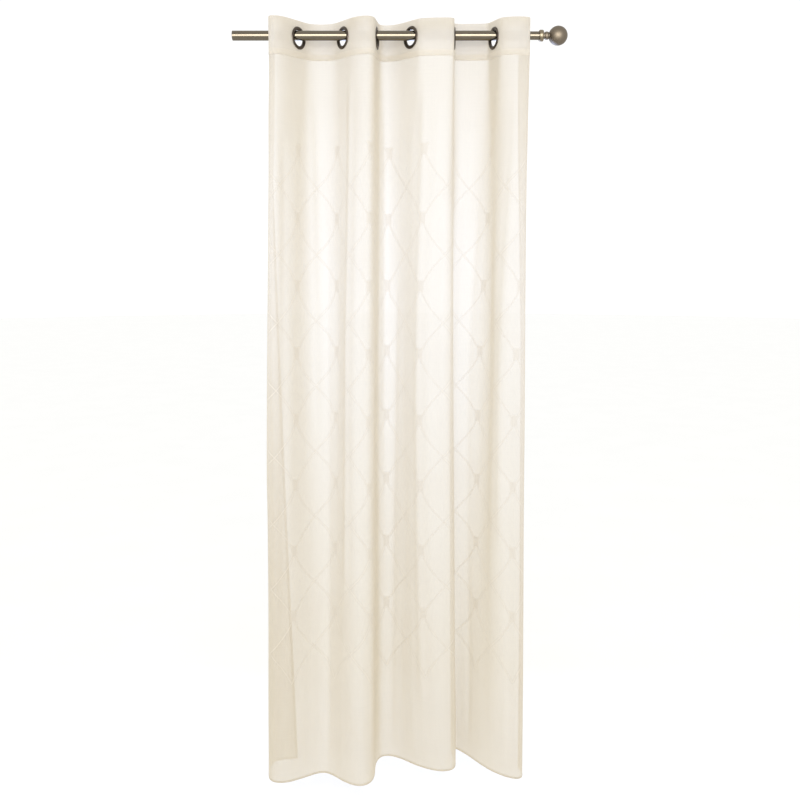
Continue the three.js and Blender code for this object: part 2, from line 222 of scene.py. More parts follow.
@dataclass(frozen=True)
class VoileFinish:
    """Polyester voile, plain woven of fine ivory yarn: a milky veil that is clearer square on and denser
    where it turns away, with faint slubs along both threads and a soft sheen. Its lattice is of satin
    yarn, which closes the weave a little more and lets less light through, so it shows as a soft shade.
    Covers are shares of the surface, and the slubs' sizes are in millimetres."""

    name: str
    yarn: str = "e1d8c5"
    shade: str = "ddd3bf"
    satin: str = "dcd3c2"
    # Painted light: the paler colour that the cloth takes where its raw edge is turned in behind it
    painted_scatter: str = "f2ece0"
    cover: float = 0.72
    slub_cover: float = 0.03
    satin_cover: float = 0.17
    through: float = 0.42
    satin_through: float = 0.28
    trellis: Trellis | None = None
    painted_scatter_below: float = math.inf
    slub_width: float = 2.4
    slub_length: float = 150.0
    least_facing: float = 0.14

    def material(self) -> bpy.types.Material:
        """Makes the cloth's material, which needs a UV map called Cloth in metres of cloth.

        Returns:
            The material.
        """
        material, tree = empty_material(self.name)
        cloth = add_node(tree, "ShaderNodeUVMap", {"uv_map": "Cloth"})

        # Slubs are thicker stretches of yarn. Real ones are 0.3 mm wide, finer than a pixel, so these are
        # drawn at slub_width.
        slubs = []
        for stretch in ((self.slub_length, self.slub_width), (self.slub_width, self.slub_length)):
            scale = (1 / (stretch[0] * MM), 1 / (stretch[1] * MM), 1.0)
            spread = add_node(tree, "ShaderNodeMapping", None, {"Vector": cloth, "Scale": scale})
            slubs.append(add_node(tree, "ShaderNodeTexNoise", {"noise_dimensions": "2D"},
                                  {"Vector": spread, "Scale": 1.0, "Detail": 1.5, "Roughness": 0.5}))
        slub = add_node(tree, "ShaderNodeMath", {"operation": "ADD"}, {0: slubs[0], 1: slubs[1]})

        # The share of the surface that yarn covers, seen square on
        cover = add_node(tree, "ShaderNodeMath", {"operation": "MULTIPLY_ADD"},
                         {0: slub, 1: self.slub_cover, 2: self.cover - self.slub_cover})
        # The yarn's colour drifts a little about every 140 mm
        drift = add_node(tree, "ShaderNodeTexNoise", {"noise_dimensions": "2D"},
                         {"Vector": cloth, "Scale": 7.0, "Detail": 2.0})
        colour = add_node(tree, "ShaderNodeMix", {"data_type": "RGBA"},
                          {"Factor": drift, "A": linear(self.yarn), "B": linear(self.shade)}, "Result")
        raised, through = slub, self.through
        if self.trellis is not None:
            satin = self.trellis.mask(tree, cloth)
            cover = add_node(tree, "ShaderNodeMath", {"operation": "MULTIPLY_ADD"},
                             {0: satin, 1: self.satin_cover, 2: cover})
            colour = add_node(tree, "ShaderNodeMix", {"data_type": "RGBA"},
                              {"Factor": satin, "A": colour, "B": linear(self.satin)}, "Result")
            raised = add_node(tree, "ShaderNodeMath", {"operation": "ADD"}, {0: slub, 1: satin})
            through = add_node(tree, "ShaderNodeMath", {"operation": "MULTIPLY_ADD"},
                               {0: satin, 1: self.satin_through - self.through, 2: self.through})
        if self.painted_scatter_below < math.inf:
            # Painted light: where the raw edge is turned in, the front ply is coloured paler, for the light
            # that the extra plies scatter back
            height = add_node(tree, "ShaderNodeSeparateXYZ", None, {"Vector": cloth}, "Y")
            painted_scatter = add_node(tree, "ShaderNodeMath", {"operation": "GREATER_THAN"},
                               {0: height, 1: self.painted_scatter_below * MM})
            colour = add_node(tree, "ShaderNodeMix", {"data_type": "RGBA"},
                              {"Factor": painted_scatter, "A": colour, "B": linear(self.painted_scatter)}, "Result")
        gaps = add_node(tree, "ShaderNodeMath", {"operation": "SUBTRACT", "use_clamp": True},
                        {0: 1.0, 1: cover})

        # Sheer cloth closes up as it turns away, because a sight line then meets more yarn
        turned_away = add_node(tree, "ShaderNodeLayerWeight", None, {"Blend": 0.5}, "Facing")
        facing = add_node(tree, "ShaderNodeMath", {"operation": "SUBTRACT"}, {0: 1.0, 1: turned_away})
        facing = add_node(tree, "ShaderNodeMath", {"operation": "MAXIMUM"},
                          {0: facing, 1: self.least_facing})
        layers = add_node(tree, "ShaderNodeMath", {"operation": "DIVIDE"}, {0: 1.0, 1: facing})
        clear = add_node(tree, "ShaderNodeMath", {"operation": "POWER"}, {0: gaps, 1: layers})

        bump = add_node(tree, "ShaderNodeBump", None,
                        {"Strength": 0.2, "Distance": 0.3 * MM, "Height": raised})
        front = add_node(tree, "ShaderNodeBsdfPrincipled", None, {
            "Base Color": colour, "Roughness": 0.78, "IOR": 1.5, "Specular IOR Level": 0.3,
            "Sheen Weight": 0.05, "Sheen Roughness": 0.4, "Normal": bump,
        })
        behind = add_node(tree, "ShaderNodeBsdfTranslucent", None, {"Color": colour, "Normal": bump})
        yarn = add_node(tree, "ShaderNodeMixShader", None, {0: through, 1: front, 2: behind})
        veil = add_node(tree, "ShaderNodeMixShader", None,
                        {0: clear, 1: yarn, 2: add_node(tree, "ShaderNodeBsdfTransparent")})
        add_node(tree, "ShaderNodeOutputMaterial", None, {"Surface": veil})
        return material


@dataclass(frozen=True)
class ThreadFinish:
    """Spun polyester sewing thread: matt, close to the cloth's own ivory. A real ply is 0.2 mm thick, and
    is drawn thicker so that the twist shows from near by."""

    name: str = "polyester_sewing_thread"
    colour: str = "efe8da"
    # Painted highlight on the twist's raised plies
    painted_lit_ply: str = "f5efe3"
    ply: float = 0.5

    def material(self) -> bpy.types.Material:
        """Makes the thread's material, with a fine twist whose raised plies carry a painted highlight.

        Returns:
            The material.
        """
        material, tree = empty_material(self.name)
        place = add_node(tree, "ShaderNodeTexCoord", None, None, "Object")
        twist = add_node(tree, "ShaderNodeTexNoise", None,
                         {"Vector": place, "Scale": 1 / (self.ply * MM)})
        bump = add_node(tree, "ShaderNodeBump", None,
                        {"Strength": 0.4, "Distance": 0.1 * MM, "Height": twist})
        # Painted highlight: the twist's raised plies are coloured paler, as if lit
        colour = add_node(tree, "ShaderNodeMix", {"data_type": "RGBA"},
                          {"Factor": twist, "A": linear(self.colour), "B": linear(self.painted_lit_ply)}, "Result")
        thread = add_node(tree, "ShaderNodeBsdfPrincipled", None,
                          {"Base Color": colour, "Roughness": 0.85, "Normal": bump})
        add_node(tree, "ShaderNodeOutputMaterial", None, {"Surface": thread})
        return material


class Grain(Enum):
    """The way a metal's finishing marks run, as how far they reach along X, Y and Z in millimetres. Real
    brush marks are 0.05 mm wide and plating's grain is finer still, so both are drawn coarser to show."""

    ALONG_ROD = (60.0, 0.5, 0.5)
    EVEN = (1.5, 1.5, 1.5)


@dataclass(frozen=True)
class MetalFinish:
    """A plated metal: its colour and worn colour, its roughness and how far that varies, and the marks
    that finishing left, with their depth in millimetres."""

    name: str
    colour: str
    worn: str
    roughness: float
    spread: float
    grain: Grain
    relief: float

    def material(self) -> bpy.types.Material:
        """Makes the metal's material, with marks in its roughness, and in its relief where it has any.

        Returns:
            The material.
        """
        material, tree = empty_material(self.name)
        place = add_node(tree, "ShaderNodeTexCoord", None, None, "Object")
        scale = tuple(1 / (reach * MM) for reach in self.grain.value)
        spread = add_node(tree, "ShaderNodeMapping", None, {"Vector": place, "Scale": scale})
        marks = add_node(tree, "ShaderNodeTexNoise", None,
                         {"Vector": spread, "Scale": 1.0, "Detail": 3.0})
        # Wear clouds the colour about every 40 mm
        clouds = add_node(tree, "ShaderNodeTexNoise", None,
                          {"Vector": place, "Scale": 24.0, "Detail": 2.0})
        colour = add_node(tree, "ShaderNodeMix", {"data_type": "RGBA"},
                          {"Factor": clouds, "A": linear(self.colour), "B": linear(self.worn)}, "Result")
        rough = add_node(tree, "ShaderNodeMapRange", None, {
            "Value": marks,
            "To Min": self.roughness - self.spread,
            "To Max": self.roughness + self.spread,
        })
        metal = add_node(tree, "ShaderNodeBsdfPrincipled", None,
                         {"Base Color": colour, "Metallic": 1.0, "Roughness": rough})
        if self.relief:
            bump = add_node(tree, "ShaderNodeBump", None,
                            {"Strength": 0.5, "Distance": self.relief * MM, "Height": marks})
            tree.links.new(bump, metal.node.inputs["Normal"])
        add_node(tree, "ShaderNodeOutputMaterial", None, {"Surface": metal})
        return material


@dataclass(frozen=True)
class PlasterFinish:
    """Smooth white plaster: matt and nearly even, so that the floor shows no more than a faint shade."""

    name: str = "pale_plaster_floor"
    colour: str = "fafaf8"
    patch: str = "f6f6f4"

    def material(self) -> bpy.types.Material:
        """Makes the plaster's material, with faint patches about every 300 mm.

        Returns:
            The material.
        """
        material, tree = empty_material(self.name)
        place = add_node(tree, "ShaderNodeTexCoord", None, None, "Object")
        patches = add_node(tree, "ShaderNodeTexNoise", None,
                           {"Vector": place, "Scale": 3.0, "Detail": 4.0})
        colour = add_node(tree, "ShaderNodeMix", {"data_type": "RGBA"},
                          {"Factor": patches, "A": linear(self.colour), "B": linear(self.patch)}, "Result")
        plaster = add_node(tree, "ShaderNodeBsdfPrincipled", None,
                           {"Base Color": colour, "Roughness": 0.9, "Specular IOR Level": 0.1})
        add_node(tree, "ShaderNodeOutputMaterial", None, {"Surface": plaster})
        return material


# Voile with the trellis woven in, as the panel shows it
PANEL_VOILE = VoileFinish("woven_ivory_voile", trellis=Trellis())
# The heading's plies have stiffener between them, so they let less through. Its colours are paler than the
# panel's yarn, painted light that offsets the shade that falls in the heading's hollows
HEADING_VOILE = VoileFinish("stiffened_ivory_voile", "eee8dc", "e9e2d5", cover=0.76, through=0.38,
                            painted_scatter_below=48.0)
# Gunmetal plate on pressed brass: a dark warm grey with a soft gloss
GUNMETAL = MetalFinish("gunmetal_plated_brass", "4b443d", "5a5148", 0.32, 0.06, Grain.EVEN, 0.01)
# Brushed nickel on steel tube: a warm grey, with marks along the tube that draw its highlight out
BRUSHED_NICKEL = MetalFinish("brushed_warm_nickel", "736b5d", "6a6255", 0.17, 0.03, Grain.ALONG_ROD, 0.0)
# Aged nickel on turned zinc: a browner, duller grey
AGED_NICKEL = MetalFinish("aged_nickel_zinc", "7b7163", "6d6355", 0.5, 0.03, Grain.EVEN, 0.002)
# Aged brass collar: the warmest of the metals
AGED_BRASS = MetalFinish("aged_brass_collar", "8b806d", "7d725f", 0.34, 0.03, Grain.EVEN, 0.002)


# Shapes

def mesh_piece(name: str, points: np.ndarray, faces: Sequence[Sequence[int]],
               material: bpy.types.Material, cloth: np.ndarray | None = None,
               sharp_from: float = CLOTH_SHARP_FROM) -> bpy.types.Object:
    """Makes a mesh object that is shaded smooth, apart from its sharp edges.

    Args:
        name: the piece's name.
        points: its corners in metres, one row each.
        faces: each face's corner numbers.
        material: its finish.
        cloth: where each corner is on the cloth, in metres, for the Cloth UV map.
        sharp_from: the angle in degrees from which an edge is sharp.

    Returns:
        The new object, linked to the scene.
    """
    mesh = bpy.data.meshes.new(name)
    mesh.from_pydata(points.tolist(), [], faces)
    mesh.polygons.foreach_set("use_smooth", [True] * len(mesh.polygons))
    mesh.materials.append(material)
    if cloth is not None:
        corners = np.empty(len(mesh.loops), dtype=np.int32)
        mesh.loops.foreach_get("vertex_index", corners)
        mesh.uv_layers.new(name="Cloth").data.foreach_set("uv", cloth[corners].ravel())
    mesh.update()
    mesh.set_sharp_from_angle(angle=math.radians(sharp_from))
    piece = bpy.data.objects.new(name, mesh)
    bpy.context.scene.collection.objects.link(piece)
    return piece


def grid_faces(rows: int, columns: int) -> list[tuple[int, int, int, int]]:
    """Gives the faces of a grid of points that are stored row after row.

    Args:
        rows: rows of points.
        columns: points in a row.

    Returns:
        Each face's corner numbers, seen from the grid's front.
    """
    return [
        (r * columns + c, (r + 1) * columns + c, (r + 1) * columns + c + 1, r * columns + c + 1)
        for r in range(rows - 1)
        for c in range(columns - 1)
    ]


def turned_piece(name: str, outline: Sequence[tuple[float, float]], sides: int, place: Matrix,
                 material: bpy.types.Material) -> bpy.types.Object:
    """Turns an outline about its axis.

    Args:
        name: the piece's name.
        outline: radius and place along the axis of each point, in millimetres. It starts and ends on
            the axis or closes on itself.
        sides: flats around the axis.
        place: puts the turned form, whose axis is Z, in the object's frame.
        material: its finish.

    Returns:
        The new object.
    """
    points: list[Vector] = []
    rings: list[list[int]] = []
    closed = outline[0] == outline[-1]
    for radius, along in outline[:-1] if closed else outline:
        count = 1 if radius == 0 else sides
        rings.append(list(range(len(points), len(points) + count)))
        for i in range(count):
            angle = math.tau * i / sides
            points.append(place @ Vector((radius * math.cos(angle), radius * math.sin(angle), along)) * MM)
    faces = []
    steps = len(rings) if closed else len(rings) - 1
    for step in range(steps):
        lower, upper = rings[step], rings[(step + 1) % len(rings)]
        for i in range(sides):
            j = (i + 1) % sides
            corners = [lower[i % len(lower)], lower[j % len(lower)],
                       upper[j % len(upper)], upper[i % len(upper)]]
            faces.append(list(dict.fromkeys(corners)))
    return mesh_piece(name, np.array([tuple(p) for p in points]), faces, material,
                      sharp_from=METAL_SHARP_FROM)


def arc(centre: tuple[float, float], reach: tuple[float, float], start: float, end: float,
        steps: int) -> list[tuple[float, float]]:
    """Gives points round part of an ellipse.

    Args:
        centre: its middle, as radius and place along the axis.
        reach: its half width and half height.
        start: the first point's angle in degrees.
        end: the last point's angle in degrees.
        steps: parts that the arc is divided into.

    Returns:
        The points, both ends included.
    """
    angles = [math.radians(start + (end - start) * i / steps) for i in range(steps + 1)]
    return [(centre[0] + reach[0] * math.cos(a), centre[1] + reach[1] * math.sin(a)) for a in angles]


def smoothstep(share: np.ndarray | float) -> np.ndarray:
    """Eases 0 to 1, flat at both ends and outside them."""
    held = np.clip(share, 0.0, 1.0)
    return held * held * (3 - 2 * held)


# How the cloth hangs

@dataclass(frozen=True)
class Place:
    """A fold line at one level: its distance along the cloth, where it hangs, and the way the cloth runs
    there in degrees, with 0 to the right and 90 away from the room."""

    cloth: float
    x: float
    y: float
    turn: float

    def row(self) -> np.ndarray:
        """The four numbers as one array."""
        return np.array([self.cloth, self.x, self.y, self.turn])


@dataclass(frozen=True)
class FoldLine:
    """A line down the cloth where it passes from one fold to the next."""

    band: Place
    waist: Place
    hem: Place


# From the left edge to the right edge. Eyelets stand at all of them but the two edges.
FOLD_LINES = (
    # Left edge
    FoldLine(Place(0, -398, 57, -70), Place(0, -378, 63, -170), Place(0, -336, 77, -170)),
    # Left return into the narrow front roll
    FoldLine(Place(66, -384, 0, -94), Place(84, -402, 5, -99), Place(142, -419, -6, -86)),
    # Front roll into the wide left hollow
    FoldLine(Place(248, -305, 0, 59), Place(250, -316, 0, 56), Place(292, -304, -29, 30)),
    # Left hollow into the second front fold
    FoldLine(Place(430, -171, 0, -55), Place(430, -180, 0, -62), Place(420, -193, -33, -44)),
    # Second front fold into the middle hollow
    FoldLine(Place(612, -70, 0, 84), Place(612, -75, 2, 88), Place(603, -79, 10, 91)),
    # Middle hollow into the broad front fold
    FoldLine(Place(794, 33, 0, -52), Place(812, 33, 2, -60), Place(782, 29, 54, -38)),
    # Broad front fold into the deep right hollow
    FoldLine(Place(976, 162, 0, 88), Place(1016, 159, 12, 108), Place(1000, 177, 75, 104)),
    # Right hollow into the last front fold
    FoldLine(Place(1158, 282, 0, -70), Place(1220, 284, 0, -76), Place(1206, 272, 30, -52)),
    # Last front fold into the right return
    FoldLine(Place(1340, 375, 0, 106), Place(1372, 384, 0, 98), Place(1373, 389, 0, 98)),
    # Right edge
    FoldLine(Place(1400, 364, 57, 140), Place(1400, 375, 26, 115), Place(1400, 381, 25, 115)),
)


@dataclass(frozen=True)
class Crease:
    """A soft ridge down the cloth, or a trough where depth is below 0. It wanders from one distance
    along the cloth to another between its ends and fades out at both."""

    cloth: float
    cloth_at_foot: float
    top_z: float
    foot_z: float
    depth: float
    width: float
    fade: float = 170.0

    def relief(self, cloth: np.ndarray, z: float) -> np.ndarray:
        """How far the crease lifts the cloth towards the room.

        Args:
            cloth: distances from the left edge.
            z: the height.

        Returns:
            The lift at each distance, in millimetres.
        """
        share = (self.top_z - z) / (self.top_z - self.foot_z)
        if not 0 <= share <= 1:
            return np.zeros_like(cloth)
        middle = self.cloth + (self.cloth_at_foot - self.cloth) * share
        ends = smoothstep((self.top_z - z) / self.fade) * smoothstep((z - self.foot_z) / self.fade)
        return self.depth * ends * np.exp(-(((cloth - middle) / self.width) ** 2))


# Soft ridges and troughs of uneven length, depth and lean
CREASES = (
    Crease(118, 150, -90, -1500, 3.0, 13),
    Crease(180, 215, -240, -2290, -3.5, 17),
    Crease(300, 330, -120, -1250, 2.6, 14),
    Crease(352, 372, -520, -2303, -3.2, 16),
    Crease(470, 452, -80, -1750, 3.0, 12),
    Crease(522, 530, -300, -2303, -3.4, 19),
    Crease(668, 690, -110, -1900, 2.8, 15),
    Crease(735, 712, -700, -2303, -3.0, 14),
    Crease(850, 838, -90, -2120, 3.4, 14),
    Crease(902, 915, -380, -2303, -3.2, 20),
    Crease(940, 962, -1000, -2303, 2.6, 12),
    Crease(1060, 1075, -100, -2000, 3.0, 15),
    Crease(1112, 1130, -450, -2303, -3.0, 13),
    Crease(1250, 1268, -90, -1600, 2.8, 13),
    Crease(1296, 1305, -620, -2303, -2.6, 15),
)


@dataclass(frozen=True)
class Ripple:
    """One layer of the cloth's faint ripples: its share of their height, how much finer it runs than the
    first across and down the cloth, and the slice of noise that it follows."""

    share: float
    finer_across: float
    finer_down: float
    noise_slice: float


RIPPLES = (Ripple(1.0, 1.0, 1.0, 3.1), Ripple(0.5, 2.3, 1.7, 8.4))


@dataclass(frozen=True)
class Drape:
    """The cloth's sections from above at every height, in millimetres. Stiffener holds it straight at the
    eyelets, and below the heading that ends by and by. Near the heading it droops by a share of how far
    it hangs in front, and its top corner at the right curls."""

    width: float = 1400.0
    top_z: float = 44.0
    band_foot_z: float = -66.0
    waist_z: float = -1006.0
    hem_z: float = -2303.0
    stiff_reach: float = 36.0
    stiff_end_z: float = -420.0
    curve_steps: int = 40
    halvings: int = 22
    direction_reach: float = 1.5
    ripple: float = 1.3
    ripple_across: float = 64.0
    ripple_down: float = 520.0
    calm: float = 260.0
    corner_curl: float = 5.0
    curl_from: float = 1290.0
    curl_over: float = 90.0
    curl_foot_z: float = 24.0
    curl_height: float = 22.0
    softness: float = 7.0
    droop: float = 0.075
    droop_end_z: float = -198.0

    def _line(self, line: FoldLine, z: float) -> np.ndarray:
        """Where a fold line is, on one smooth curve through its three levels.

        Args:
            line: the fold line.
            z: the height.

        Returns:
            Its distance along the cloth, x, y and turn at that height.
        """
        band, waist, hem = line.band.row(), line.waist.row(), line.hem.row()
        upper, lower = self.band_foot_z - self.waist_z, self.waist_z - self.hem_z
        foot_slope = (hem - waist) / lower
        waist_slope = ((waist - band) / upper * lower + foot_slope * upper) / (upper + lower)
        if z >= self.waist_z:
            start, end, span = band, waist, upper
            slopes = (np.zeros(4), waist_slope)
            share = float(np.clip((self.band_foot_z - z) / span, 0, 1))
        else:
            start, end, span = waist, hem, lower
            slopes = (waist_slope, foot_slope)
            share = float(np.clip((self.waist_z - z) / span, 0, 1))
        rise = share * share * (3 - 2 * share)
        leave = share * (1 - share) ** 2 * span
        arrive = share * share * (share - 1) * span
        return start + (end - start) * rise + slopes[0] * leave + slopes[1] * arrive

    def _fold(self, start: np.ndarray, start_turn: float, end: np.ndarray, end_turn: float,
              cloth: float) -> np.ndarray:
        """A fold between two places, which leaves and arrives in the given directions and uses up that
        much cloth.

        Args:
            start: where it starts.
            start_turn: its direction there in degrees.
            end: where it ends.
            end_turn: its direction there in degrees.
            cloth: its length.

        Returns:
            Points along it.
        """
        t = np.linspace(0, 1, self.curve_steps + 1)[:, None]
        leave = np.array([math.cos(math.radians(start_turn)), math.sin(math.radians(start_turn))])
        arrive = np.array([math.cos(math.radians(end_turn)), math.sin(math.radians(end_turn))])
        ends = start * ((1 - t) ** 3 + 3 * t * (1 - t) ** 2) + end * (t ** 3 + 3 * t * t * (1 - t))
        pull = 3 * t * (1 - t) ** 2 * leave - 3 * t * t * (1 - t) * arrive
        shortest, longest = 0.0, cloth
        points = ends
        for _ in range(self.halvings):
            handle = (shortest + longest) / 2
            points = ends + handle * pull
            if np.linalg.norm(np.diff(points, axis=0), axis=1).sum() < cloth:
                shortest = handle
            else:
                longest = handle
        return points

    @lru_cache(maxsize=None)
    def _path(self, z: float) -> tuple[np.ndarray, np.ndarray]:
        """The cloth's line seen from above, without creases or ripples.

        Args:
            z: the height.

        Returns:
            Distances along it, 1 mm apart, and x and y at each.
        """
        lines = [self._line(line, z) for line in FOLD_LINES]
        stiff = self.stiff_reach * float(np.clip(
            (z - self.stiff_end_z) / (self.band_foot_z - self.stiff_end_z), 0, 1))
        parts = []
        for i, (a, b) in enumerate(zip(lines, lines[1:])):
            after = 0.0 if i == 0 else stiff
            before = 0.0 if i + 2 == len(lines) else stiff
            way_a = np.array([math.cos(math.radians(a[3])), math.sin(math.radians(a[3]))])
            way_b = np.array([math.cos(math.radians(b[3])), math.sin(math.radians(b[3]))])
            start, end = a[1:3] + way_a * after, b[1:3] - way_b * before
            fold = self._fold(start, a[3], end, b[3], b[0] - a[0] - after - before)
            parts.append(np.vstack([a[1:3], fold, b[1:3]]) if after or before else fold)
        path = np.vstack(parts)
        run = np.concatenate([[0.0], np.cumsum(np.linalg.norm(np.diff(path, axis=0), axis=1))])
        run *= self.width / run[-1]
        keep = np.concatenate([[True], np.diff(run) > 1e-9])
        even = np.arange(0, self.width + 1)
        path = np.stack([np.interp(even, run[keep], path[keep, i]) for i in range(2)], axis=1)

        # Cloth turns no sharp corners: each place is averaged with its neighbours, out to three times the
        # softness, and the edges stay where they are
        reach = np.arange(-3 * self.softness, 3 * self.softness + 1)
        weight = np.exp(-((reach / self.softness) ** 2) / 2)
        weight /= weight.sum()
        pad = len(reach) // 2
        before, after = 2 * path[0] - path[pad:0:-1], 2 * path[-1] - path[-2:-pad - 2:-1]
        padded = np.vstack([before, path, after])
        soft = np.stack([np.convolve(padded[:, i], weight, "valid") for i in range(2)], axis=1)
        return even, soft

    def section(self, z: float, cloth: np.ndarray) -> tuple[np.ndarray, np.ndarray]:
        """Where the cloth hangs at height z.

        Args:
            z: the height.
            cloth: distances from the left edge.

        Returns:
            The places as x and y, and the unit vectors from them towards the room.
        """
        run, path = self._path(min(z, self.band_foot_z))

        def at(distance: np.ndarray) -> np.ndarray:
            """The path's places at these distances."""
            held = np.clip(distance, 0, self.width)
            return np.stack([np.interp(held, run, path[:, 0]), np.interp(held, run, path[:, 1])], axis=1)

        along = at(cloth + self.direction_reach) - at(cloth - self.direction_reach)
        along /= np.linalg.norm(along, axis=1)[:, None]
        return at(cloth), np.stack([along[:, 1], -along[:, 0]], axis=1)

    def _ripples(self, z: float, cloth: np.ndarray) -> np.ndarray:
        """Faint ripples of the free cloth below the heading.

        Args:
            z: the height.
            cloth: distances from the left edge.

        Returns:
            How far they lift the cloth towards the room at each distance.
        """
        free = float(smoothstep((self.band_foot_z - z) / self.calm))
        return self.ripple * free * np.array([
            sum(layer.share * noise.noise(Vector((
                c / self.ripple_across * layer.finer_across,
                z / self.ripple_down * layer.finer_down,
                layer.noise_slice,
            ))) for layer in RIPPLES)
            for c in cloth
        ])

    def surface(self, z: float, cloth: np.ndarray, lift: np.ndarray | float = 0.0) -> np.ndarray:
        """Points of the cloth at height z, with its creases and ripples.

        Args:
            z: the height.
            cloth: distances from the left edge.
            lift: how far in front of the cloth's middle they lie, towards the room.

        Returns:
            Points in millimetres, one row each.
        """
        places, to_room = self.section(z, cloth)
        relief = sum(crease.relief(cloth, z) for crease in CREASES)
        if z < self.band_foot_z:
            relief = relief + self._ripples(z, cloth)
        places = places + to_room * (relief + lift)[:, None]
        at_corner = smoothstep((cloth - self.curl_from) / self.curl_over)
        at_top = float(smoothstep((z - self.curl_foot_z) / self.curl_height))
        curl = self.corner_curl * at_corner * at_top
        droop_height = self.band_foot_z - self.droop_end_z
        droop = self.droop * float(smoothstep((z - self.droop_end_z) / droop_height))
        return np.column_stack([places[:, 0] + curl, places[:, 1], z + droop * places[:, 1]])


DRAPE = Drape()


# The curtain's pieces

@dataclass(frozen=True)
class VoilePanel:
    """The panel below the heading, with narrow hems turned to the back at both sides and at the foot."""

    strip: float = 4.6
    row: float = 10.0
    side_hem: float = 8.0
    foot_hem: float = 6.0
    ply: float = 0.4
    turn_over: float = 1.2
    turn_cuts: tuple[float, ...] = (0.5, 1.1, 1.7, 4.0)
    tucked_in: float = 2.5

    def _turned(self, cut: np.ndarray, start: float, end: float) -> tuple[np.ndarray, np.ndarray]:
        """Folds cut cloth to the back past two fold lines.

        Args:
            cut: distances along the flat cut.
            start: the first fold line.
            end: the last fold line.

        Returns:
            Where the cloth then lies, and how far in front of its middle.
        """
        over = np.maximum(start - cut, cut - end)
        lies = np.where(cut < start, 2 * start - cut, np.where(cut > end, 2 * end - cut, cut))
        return lies, -self.ply * smoothstep(over / self.turn_over)

    def _cuts(self, start: float, end: float, step: float, hems: tuple[float, float]) -> np.ndarray:
        """Distances at which the cut is divided, closer together where a hem turns over.

        Args:
            start: the first fold line.
            end: the last fold line.
            step: how far apart they are between the fold lines.
            hems: the hems' widths outside the first and the last fold line, 0 for none.

        Returns:
            The distances, in order.
        """
        cuts = list(np.linspace(start, end, round((end - start) / step) + 1))
        if hems[0]:
            cuts = [start - hems[0]] + [start - t for t in reversed(self.turn_cuts)] + cuts
        if hems[1]:
            cuts = cuts + [end + t for t in self.turn_cuts] + [end + hems[1]]
        return np.array(cuts)

    def build(self) -> bpy.types.Object:
        """Returns:
            The panel.
        """
        across = self._cuts(0, DRAPE.width, self.strip, (self.side_hem, self.side_hem))
        top, foot = -(DRAPE.band_foot_z + self.tucked_in), -DRAPE.hem_z
        down = self._cuts(top, foot, self.row, (0.0, self.foot_hem))
        cloth, across_lift = self._turned(across, 0, DRAPE.width)
        drop, down_lift = self._turned(down, top, foot)
        points, marks = [], []
        for cut, below, lift in zip(down, drop, down_lift):
            points.append(DRAPE.surface(-below, cloth, across_lift + lift))
            marks.append(np.column_stack([across, np.full(len(across), cut)]))
        panel = mesh_piece("voile_cloth", np.vstack(points) * MM, grid_faces(len(down), len(across)),
                           PANEL_VOILE.material(), np.vstack(marks) * MM)
        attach(panel, "root")
        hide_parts("voile_panel")
        return panel


